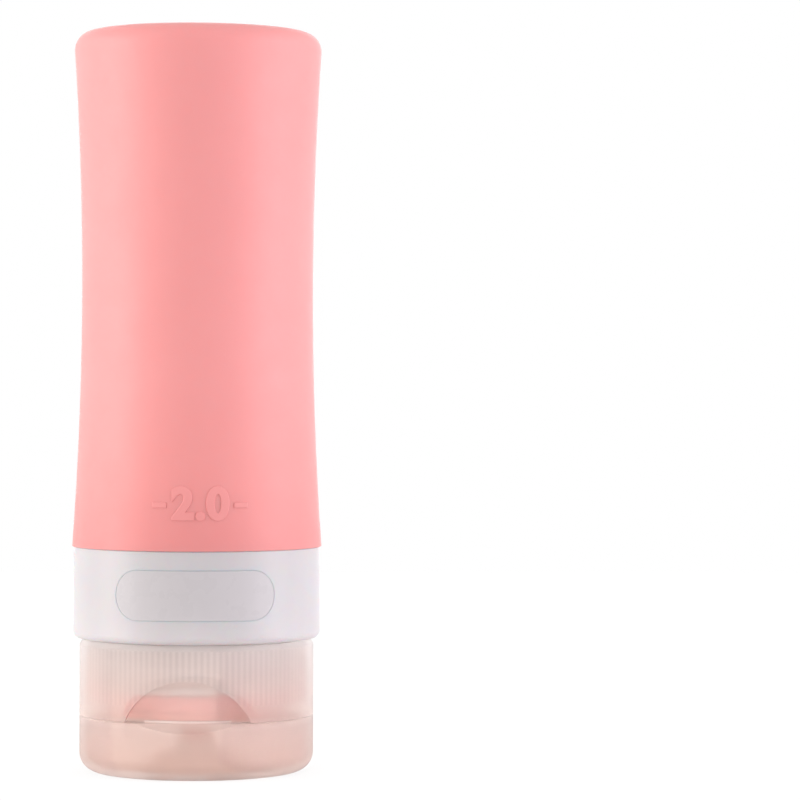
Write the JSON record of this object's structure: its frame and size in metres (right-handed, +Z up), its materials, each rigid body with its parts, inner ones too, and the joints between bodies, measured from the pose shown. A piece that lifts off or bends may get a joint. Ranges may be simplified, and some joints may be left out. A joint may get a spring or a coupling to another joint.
{
  "type": "travel squeeze bottle",
  "caption": "Soft waisted silicone squeeze bottle for toiletries, with a turning windowed collar and a screw-on flip-top cap on which it stands.",
  "frame": {"origin": "centre of the cap's end, on the surface that the bottle stands on", "axes": "+Z up the bottle's axis to the tube's closed end, -Y towards the collar's window and the front"},
  "size_m": [0.0384, 0.0384, 0.114],
  "materials": {
    "silicone": "matte",
    "valve_silicone": "matte",
    "white_collar": "gloss",
    "white_neck": "satin",
    "label": "matte",
    "clear_window": "gloss",
    "frosted_cap": "frosted"
  },
  "bodies": {
    "tube": {"squeeze_tube": "silicone", "neck_insert": "white_neck", "label_ring": "label"},
    "collar": {"collar": "white_collar", "window_lens": "clear_window"},
    "seal": {"seal_washer": "silicone"},
    "cap": {"cap_base": "frosted_cap", "living_hinge": "frosted_cap", "slit_valve": "valve_silicone", "valve_retainer": "white_neck"},
    "lid": {"cap_lid": "frosted_cap"}
  },
  "joints": [
    {"name": "collar_turn", "type": "hinge", "parent": "tube", "child": "collar", "pos_m": [0, 0, 0.0276], "axis": [0, 0, 1], "continuous": true},
    {"name": "cap_rise", "type": "slide", "parent": "tube", "child": "seal", "axis": [0, 0, -1], "range_m": [0, 0.012]},
    {"name": "cap_turn", "type": "hinge", "parent": "seal", "child": "cap", "pos_m": [0, 0, 0.015], "axis": [0, 0, -1], "range_deg": [0, 1080]},
    {"name": "lid_flip", "type": "hinge", "parent": "cap", "child": "lid", "pos_m": [0.0012, 0.01713, 0.00873], "axis": [0.9976, -0.0698, 0], "range_deg": [0, 150], "deforming": ["living_hinge"]}
  ],
  "couplings": [
    {"joint": "cap_rise", "follows": "cap_turn", "m_per_rad": 0.0006366}
  ]
}
